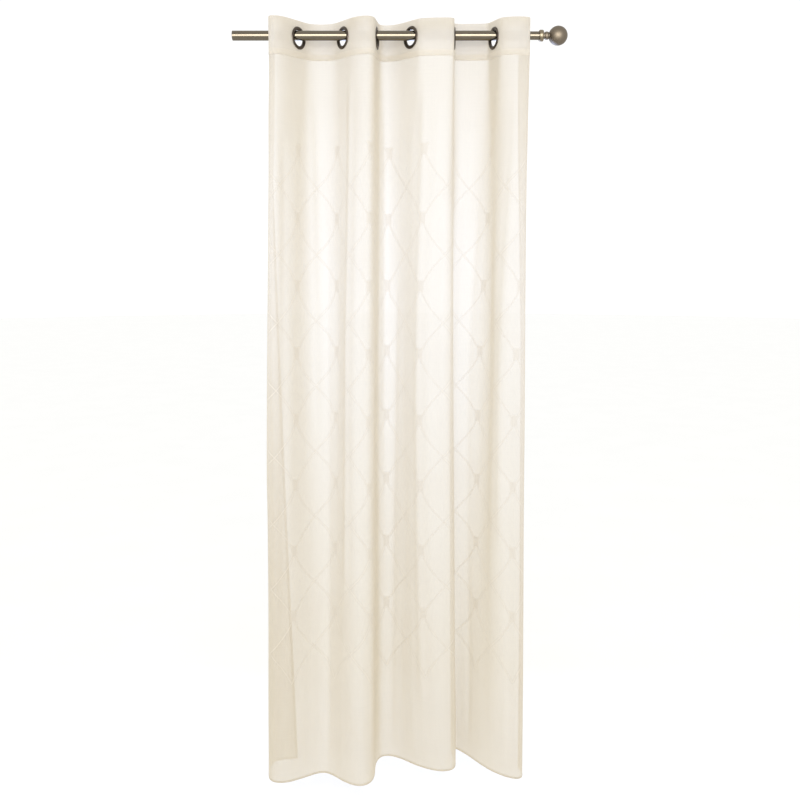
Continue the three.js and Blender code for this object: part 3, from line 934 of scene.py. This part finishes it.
@dataclass(frozen=True)
class HeadingBand:
    """The heading: the cloth's top turned over to the back over stiffener, its raw edge turned in, and a
    round hole for each eyelet. top_roll gives the rows that round off its top edge, as height from the
    top and share of the lift, and foot_roll those at its foot, as height above the foot and lift."""

    strip: float = 3.6
    row: float = 3.6
    half_thickness: float = 0.6
    turn_in: float = 18.0
    turn_in_end: float = 1.5
    turn_in_rows: int = 6
    turn_in_lift: float = -0.25
    back_foot: float = 1.0
    back_top: float = 1.2
    front_foot: float = 0.1
    top_roll: tuple[tuple[float, float], ...] = ((-0.45, -0.75), (-0.05, -0.3), (-0.05, 0.3), (-0.45, 0.75))
    foot_roll: tuple[tuple[float, float], ...] = ((0.2, -0.45), (0.3, -0.55))
    hole_radius: float = 25.6
    rim_reach: float = 1.5
    pinch: float = 3.0
    pinched: float = 0.3

    def _profile(self) -> list[tuple[float, float]]:
        """The rows of the heading, from the turned-in edge, up the back and down the front.

        Returns:
            Each row's height, and how far it lies in front of the cloth's middle.
        """
        top, foot, half = DRAPE.top_z, DRAPE.band_foot_z, self.half_thickness
        turned_in = np.linspace(foot + self.turn_in, foot + self.turn_in_end, self.turn_in_rows)
        back = np.linspace(foot + self.back_foot, top - self.back_top, round((top - foot) / self.row))
        return (
            [(z, self.turn_in_lift) for z in turned_in]
            + [(foot + rise, lift) for rise, lift in self.foot_roll]
            + [(z, -half) for z in back]
            + [(top + rise, share * half) for rise, share in self.top_roll]
            + [(z, half) for z in back[::-1]]
            + [(foot + self.front_foot, half)]
        )

    def build(self, eyelets: Sequence[tuple[float, float]]) -> bpy.types.Object:
        """Args:
            eyelets: distance along the cloth and height of each eyelet's middle.

        Returns:
            The heading.
        """
        profile = self._profile()
        heights = np.array([z for z, _ in profile])
        cloth = np.linspace(0, DRAPE.width, round(DRAPE.width / self.strip) + 1)
        rows, columns = len(profile), len(cloth)
        flat = np.stack(np.meshgrid(cloth, heights), axis=2).reshape(-1, 2)
        faces = np.array(grid_faces(rows, columns))
        middles = flat[faces].mean(axis=1)
        reach = np.full(len(middles), np.inf)
        for middle in eyelets:
            reach = np.minimum(reach, np.linalg.norm(middles - middle, axis=1))
        turned_in = np.repeat(np.arange(rows - 1), columns - 1) < self.turn_in_rows
        kept = faces[(reach > self.hole_radius) | turned_in]
        cut = faces[(reach <= self.hole_radius) & ~turned_in]
        rim = np.intersect1d(kept, cut)
        for middle in eyelets:
            away = flat[rim] - middle
            length = np.linalg.norm(away, axis=1)
            near = length < self.hole_radius * self.rim_reach
            flat[rim[near]] = middle + away[near] * (self.hole_radius / length[near])[:, None]

        points = np.empty((len(flat), 3))
        edge = np.minimum(flat[:, 0], DRAPE.width - flat[:, 0])
        lifts = np.repeat([lift for _, lift in profile], columns)
        lifts = lifts * (self.pinched + (1 - self.pinched) * smoothstep(edge / self.pinch))
        levels, level_of = np.unique(np.round(flat[:, 1], 3), return_inverse=True)
        for i, z in enumerate(levels):
            here = np.flatnonzero(level_of == i)
            points[here] = DRAPE.surface(float(z), flat[here, 0], lifts[here])
        used = np.unique(kept)
        number = np.full(len(flat), -1)
        number[used] = np.arange(len(used))
        marks = np.column_stack([flat[used, 0], -flat[used, 1]]) * MM
        band = mesh_piece("heading_cloth", points[used] * MM, number[kept].tolist(),
                          HEADING_VOILE.material(), marks)
        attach(band, "root")
        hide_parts("heading_band")
        return band


@dataclass(frozen=True)
class Stitching:
    """Lockstitch seams: short thread stitches that lie on the cloth and dip into it at both ends."""

    stitch: float = 3.4
    gap: float = 0.8
    thread: float = 0.3
    bulge: float = 0.35
    dip: float = 0.1
    taper: float = 0.5
    level: float = 10.0
    inset: float = 2.5
    hem_lift: float = 0.1

    def _stitches(self, seam: Callable[[np.ndarray], np.ndarray],
                  length: float) -> tuple[np.ndarray, np.ndarray]:
        """Thread along a seam.

        Args:
            seam: gives points and outward vectors, six numbers each, for distances along the seam.
            length: the seam's length.

        Returns:
            Points in millimetres and faces as corner numbers.
        """
        starts = np.arange(self.gap, length - self.stitch, self.stitch + self.gap)
        stations = [seam(starts + self.stitch * share) for share in (0.0, 0.5, 1.0)]
        along = stations[2][:, :3] - stations[0][:, :3]
        along /= np.linalg.norm(along, axis=1)[:, None]
        heights, sizes = (-self.dip, self.bulge, -self.dip), (self.taper, 1.0, self.taper)
        points = []
        for station, height, size in zip(stations, heights, sizes):
            out = station[:, 3:]
            side = np.cross(along, out)
            middle = station[:, :3] + out * height
            for a, b in ((1, 0), (0, 1), (-1, 0), (0, -1)):
                points.append(middle + (out * a + side * b) * self.thread * size)
        corners = np.stack(points, axis=1)
        # Each stitch has three rings of four corners, with faces between them and at both ends
        quads = []
        for ring in (0, 4):
            for i in range(4):
                j = (i + 1) % 4
                quads.append((ring + i, ring + j, ring + 4 + j, ring + 4 + i))
        quads += [(3, 2, 1, 0), (8, 9, 10, 11)]
        first_corners = np.arange(len(starts))[:, None, None] * corners.shape[1]
        return corners.reshape(-1, 3), (first_corners + np.array(quads)).reshape(-1, 4)

    def _across(self, z: float, lift: float) -> Callable[[np.ndarray], np.ndarray]:
        """A seam that runs across the cloth.

        Args:
            z: its height.
            lift: how far in front of the cloth's middle it lies, below 0 for the back.

        Returns:
            A function that gives points and outward vectors for distances along it.
        """
        def seam(distance: np.ndarray) -> np.ndarray:
            """Points and outward vectors along it.

            Args:
                distance: distances along the seam.

            Returns:
                Six numbers for each distance.
            """
            points = DRAPE.surface(z, distance, np.full(len(distance), lift))
            _, to_room = DRAPE.section(z, distance)
            level = np.zeros(len(distance))
            outward = np.column_stack([to_room, level]) * math.copysign(1, lift)
            return np.hstack([points, outward])
        return seam

    def _down(self, cloth: float, top_z: float, lift: float) -> Callable[[np.ndarray], np.ndarray]:
        """A seam that runs down the cloth.

        Args:
            cloth: its distance from the cloth's left edge.
            top_z: the height that it starts at.
            lift: how far in front of the cloth's middle it lies.

        Returns:
            A function that gives points and outward vectors for distances along it.
        """
        place = np.array([cloth])
        levels = np.arange(top_z, DRAPE.hem_z - self.level, -self.level)
        rows = []
        for z in levels:
            _, to_room = DRAPE.section(float(z), place)
            rows.append([*DRAPE.surface(float(z), place, np.array([lift]))[0], *to_room[0], 0.0])
        known = np.array(rows)

        def seam(distance: np.ndarray) -> np.ndarray:
            """Points and outward vectors along it."""
            return np.column_stack([np.interp(distance, top_z - levels, known[:, i]) for i in range(6)])
        return seam

    def build(self, panel: VoilePanel, band: HeadingBand) -> dict[str, bpy.types.Object]:
        """Makes the heading's and the hems' stitching.

        Args:
            panel: gives the hems' widths.
            band: gives the heading's thickness.

        Returns:
            The pieces by the sheet that each is sewn to.
        """
        band_z, band_lift = DRAPE.band_foot_z + self.inset, band.half_thickness
        top_z, foot_z = DRAPE.band_foot_z - self.inset, DRAPE.hem_z + panel.foot_hem - self.inset
        side, drop = panel.side_hem - self.inset, top_z - DRAPE.hem_z
        seams = {
            "heading": [
                (self._across(band_z, band_lift), DRAPE.width),
                (self._across(band_z, -band_lift), DRAPE.width),
            ],
            "hem": [
                (self._down(side, top_z, self.hem_lift), drop),
                (self._down(DRAPE.width - side, top_z, self.hem_lift), drop),
                (self._across(foot_z, self.hem_lift), DRAPE.width),
            ],
        }
        material = ThreadFinish().material()
        pieces = {}
        for name, runs in seams.items():
            points, faces, count = [], [], 0
            for seam, length in runs:
                corners, quads = self._stitches(seam, length)
                points.append(corners)
                faces.append(quads + count)
                count += len(corners)
            piece = mesh_piece(f"{name}_stitching", np.vstack(points) * MM,
                               np.vstack(faces).tolist(), material)
            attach(piece, "root")
            pieces[name] = piece
        return pieces


@dataclass(frozen=True)
class Eyelet:
    """A two-part press eyelet: a face with a domed flange and a barrel whose end is curled to a lip, and a
    domed clamping ring. The domes' arcs start and end at shoulder degrees."""

    number: int
    bore: float = 23.0
    rim: float = 33.0
    barrel_wall: float = 2.0
    gap: float = 0.3
    clamp: float = 1.4
    crown: float = 2.8
    shoulder: float = 8.0
    rim_ease: float = 0.4
    bore_ease: float = 0.3
    lip_reach: float = 3.2
    lip_width: float = 1.0
    lip_height: float = 0.6
    sides: int = 96

    @property
    def place(self) -> Place:
        """The fold line's place in the band, where the eyelet is pressed in."""
        return FOLD_LINES[self.number].band

    def height(self) -> float:
        """Its middle's height in millimetres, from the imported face."""
        low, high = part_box(f"eyelet_{self.number}_face")
        return (low[2] + high[2]) / 2 / MM

    def build(self, material: bpy.types.Material) -> list[bpy.types.Object]:
        """Makes the face and the clamping ring in place of their nodes.

        Args:
            material: their finish.

        Returns:
            Both pieces.
        """
        turn = math.radians(self.place.turn)
        to_room = Vector((math.sin(turn), -math.cos(turn), 0))
        along = Vector((math.cos(turn), math.sin(turn), 0))
        place = Matrix.Translation((self.place.x, self.place.y, self.height())) @ Matrix(
            (along, Vector((0, 0, 1)), to_room)).transposed().to_4x4()
        middle, half = (self.bore + self.rim) / 2, (self.rim - self.bore) / 2
        outer, flat = self.bore + self.barrel_wall, self.rim - self.rim_ease
        lip = self.lip_height - self.lip_reach
        face = (
            [(outer, self.clamp), (flat, self.clamp)]
            + arc((middle, self.clamp), (half, self.crown), self.shoulder, 180 - self.shoulder, 14)
            + [(self.bore, self.clamp - self.lip_height), (self.bore, lip)]
            + arc((self.bore + self.lip_width, lip), (self.lip_width, self.lip_height), 180, 360, 6)
            + [(outer, self.clamp)]
        )
        inner = outer + self.gap
        middle, half = (inner + self.rim) / 2, (self.rim - inner) / 2
        back = (
            [(flat, -self.clamp), (inner + self.bore_ease, -self.clamp)]
            + arc((middle, -self.clamp), (half, self.crown), 180 + self.shoulder, 360 - self.shoulder, 12)
            + [(flat, -self.clamp)]
        )
        pieces = []
        for part, outline, name in (("face", face[::-1], "front_ring"), ("back", back[::-1], "clamp_ring")):
            piece = turned_piece(f"eyelet_{self.number}_{name}", outline, self.sides, place, material)
            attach(piece, "root")
            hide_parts(f"eyelet_{self.number}_{part}")
            pieces.append(piece)
        return pieces


@dataclass(frozen=True)
class Rod:
    """A telescopic rod of two brushed tubes: the outer one closed at its plain left end, the inner one
    sliding in it towards the finial. Rings at the stations keep the long tube's shading even."""

    start_x: float = -502.5
    outer_radius: float = 14.5
    outer_end_x: float = 345.0
    inner_radius: float = 12.5
    inner_wall: float = 1.2
    inner_start_x: float = 185.0
    inner_end_x: float = 426.7
    gap: float = 0.3
    end_wall: float = 3.0
    edge: float = 0.7
    stations: tuple[float, ...] = (-250.0, 0.0, 250.0)
    sides: int = 128

    def build(self) -> list[bpy.types.Object]:
        """Makes both tubes in place of their nodes.

        Returns:
            The tubes.
        """
        material = BRUSHED_NICKEL.material()
        place = Matrix.Rotation(math.pi / 2, 4, "Y")
        radius, bore, edge = self.outer_radius, self.inner_radius + self.gap, self.edge
        first, last = self.start_x + 3 * edge, self.outer_end_x - 3 * edge
        closed_x = self.start_x + self.end_wall
        outer = (
            [(0, self.start_x), (radius / 2, self.start_x)]
            + arc((radius - edge, self.start_x + edge), (edge, edge), -90, 0, 4)
            + [(radius, x) for x in (first, *self.stations, last)]
            + arc((radius - edge, self.outer_end_x - edge), (edge, edge), 0, 90, 4)
            + [(bore, self.outer_end_x), (bore, closed_x), (0, closed_x)]
        )
        hollow = self.inner_radius - self.inner_wall
        inner = [
            (hollow, self.inner_start_x),
            (self.inner_radius, self.inner_start_x),
            (self.inner_radius, self.inner_end_x),
            (hollow, self.inner_end_x),
            (hollow, self.inner_start_x),
        ]
        tubes = []
        for name, outline, node in (
            ("rod_outer", outer, "rod_outer_tube"),
            ("rod_inner", inner, "rod_inner_tube"),
        ):
            piece = turned_piece(name, outline, self.sides, place, material)
            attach(piece, "root")
            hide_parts(node)
            tubes.append(piece)
        return tubes


@dataclass(frozen=True)
class Finial:
    """A chamfered collar over the rod's end, then a groove, a bead and a ball, turned in one."""

    collar_start_x: float = 417.0
    collar_length: float = 13.0
    collar_radius: float = 17.0
    chamfer: float = 1.6
    ease: float = 0.4
    bore: float = 12.8
    end_wall: float = 3.0
    gap: float = 0.3
    groove_radius: float = 9.5
    groove_length: float = 4.2
    bead_radius: float = 12.0
    bead_length: float = 11.0
    ball_radius: float = 28.5
    tip_x: float = 502.5
    sides: int = 128

    def build(self) -> list[bpy.types.Object]:
        """Makes the collar and the knob in place of their nodes.

        Returns:
            The collar and the knob.
        """
        place = Matrix.Rotation(math.pi / 2, 4, "Y")
        start, end, ease = self.collar_start_x, self.collar_start_x + self.collar_length, self.ease
        radius, chamfer = self.collar_radius, self.chamfer
        shoulder = radius - chamfer
        collar = [
            (0, end - self.end_wall),
            (self.bore, end - self.end_wall),
            (self.bore, start + ease),
            (self.bore + ease, start),
            (shoulder - ease, start),
            (shoulder, start + ease / 2),
            (radius - ease / 2, start + chamfer),
            (radius, start + chamfer + ease),
            (radius, end - chamfer - ease),
            (radius - ease / 2, end - chamfer),
            (shoulder, end - ease / 2),
            (shoulder - ease, end),
            (0, end),
        ]
        groove_x = end + self.gap
        bead_x = groove_x + self.groove_length
        ball_x = self.tip_x - self.ball_radius
        neck = math.degrees(math.asin(self.groove_radius / self.ball_radius))
        bead = (self.bead_radius - self.groove_radius, self.bead_length / 2)
        knob = [(0, groove_x), (self.groove_radius, groove_x), (self.groove_radius, bead_x)]
        knob += arc((self.groove_radius, bead_x + bead[1]), bead, -90, 90, 12)[1:]
        knob += arc((0, ball_x), (self.ball_radius, self.ball_radius), neck - 90, 90, 40)[:-1]
        knob.append((0, self.tip_x))
        pieces = []
        for name, outline, node, finish in (
            ("finial_collar_ring", collar, "finial_collar", AGED_BRASS),
            ("finial_ball", knob, "finial_knob", AGED_NICKEL),
        ):
            piece = turned_piece(name, outline, self.sides, place, finish.material())
            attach(piece, "root")
            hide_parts(node)
            pieces.append(piece)
        return pieces


# The studio

@dataclass(frozen=True)
class Softbox:
    """An area light that lights the piece but isn't in the picture. Its places and size are in metres and
    its power in watts. One that isn't for matt surfaces shows in the metal alone."""

    name: str
    at: tuple[float, float, float]
    aim: tuple[float, float, float]
    size: tuple[float, float]
    power: float
    tint: str = "ffffff"
    for_matt: bool = True

    def build(self) -> None:
        """Adds the light, turned to its aim."""
        data = bpy.data.lights.new(self.name, "AREA")
        data.shape = "RECTANGLE"
        data.size, data.size_y = self.size
        data.energy = self.power
        data.color = linear(self.tint)[:3]
        light = bpy.data.objects.new(self.name, data)
        light.location = self.at
        light.rotation_euler = (Vector(self.aim) - Vector(self.at)).to_track_quat("-Z", "Y").to_euler()
        light.visible_camera = False
        light.visible_diffuse = self.for_matt
        bpy.context.scene.collection.objects.link(light)


SOFTBOXES = (
    # Soft light from in front
    Softbox("front_softbox", (0.0, -2.7, 0.3), (0.0, 0.0, 0.0), (2.0, 0.5), 18.0),
    # Cool soft light from behind, which the cloth glows with
    Softbox("back_softbox", (0.0, 0.95, -0.72), (0.0, 0.0, -0.72), (0.9, 0.7), 16.0, "aac4ff"),
    # A white card in front, which the rod mirrors
    Softbox("mirror_card", (0.0, -2.9, -0.25), (0.0, 0.0, 0.0), (3.2, 1.9), 120.0, for_matt=False),
)


@dataclass(frozen=True)
class Studio:
    """A pale floor, soft even light, and a camera at the photograph's viewing angle. Lengths are in
    millimetres, the tilt in degrees, and frame_side and axis_py in pixels of the photograph."""

    floor_z: float = -2420.0
    floor_radius: float = 30000.0
    floor_sides: int = 96
    distance: float = 2514.9
    camera_z: float = -700.0
    tilt: float = 4.0
    lens: float = 36.9
    sensor: float = 36.0
    frame_side: float = 800.0
    axis_py: float = 326.9
    world: float = 1.06

    def build_floor(self) -> None:
        """Makes the floor, a wide round slab's top."""
        turns = [math.tau * i / self.floor_sides for i in range(self.floor_sides)]
        points = np.array([
            (self.floor_radius * math.cos(turn), self.floor_radius * math.sin(turn), self.floor_z)
            for turn in turns
        ]) * MM
        face = list(range(self.floor_sides))
        mesh_piece("studio_floor", points, [face], PlasterFinish().material())

    def build_camera(self) -> None:
        """Makes the camera, in front of the curtain and tilted a little down."""
        data = bpy.data.cameras.new("photo_camera")
        data.lens, data.sensor_width = self.lens, self.sensor
        data.shift_y = (self.axis_py - self.frame_side / 2) / self.frame_side
        camera = bpy.data.objects.new("photo_camera", data)
        camera.location = Vector((0, -self.distance, self.camera_z)) * MM
        camera.rotation_euler = (math.radians(90 - self.tilt), 0, 0)
        bpy.context.scene.collection.objects.link(camera)
        bpy.context.scene.camera = camera

    def build_light(self) -> None:
        """Makes the white surround and the softboxes."""
        world = bpy.data.worlds.new("white_surround")
        world.use_nodes = True
        world.node_tree.nodes.clear()
        glow = add_node(world.node_tree, "ShaderNodeBackground", None,
                        {"Color": (1.0, 1.0, 1.0, 1.0), "Strength": self.world})
        add_node(world.node_tree, "ShaderNodeOutputWorld", None, {"Surface": glow})
        bpy.context.scene.world = world
        bpy.context.scene.view_settings.view_transform = "Standard"
        for softbox in SOFTBOXES:
            softbox.build()


def report(pieces: Sequence[bpy.types.Object]) -> None:
    """Logs each piece's name and its number of faces."""
    for piece in pieces:
        LOG.info("%s: %d faces", piece.name, len(piece.data.polygons))


def main() -> None:
    """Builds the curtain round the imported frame, then the studio."""
    logging.basicConfig(level=logging.INFO, format="%(message)s")
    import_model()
    studio = Studio()
    studio.build_camera()

    eyelets = [Eyelet(number) for number in range(1, len(FOLD_LINES) - 1)]
    panel_sizes, band_sizes = VoilePanel(), HeadingBand()
    panel = panel_sizes.build()
    band = band_sizes.build([(eyelet.place.cloth, eyelet.height()) for eyelet in eyelets])
    report([panel, band])
    stitching = Stitching().build(panel_sizes, band_sizes)
    report(list(stitching.values()))
    gunmetal = GUNMETAL.material()
    rings = [piece for eyelet in eyelets for piece in eyelet.build(gunmetal)]
    report(rings)
    report(Rod().build())
    report(Finial().build())

    studio.build_floor()
    studio.build_light()


if __name__ == "__main__":
    main()
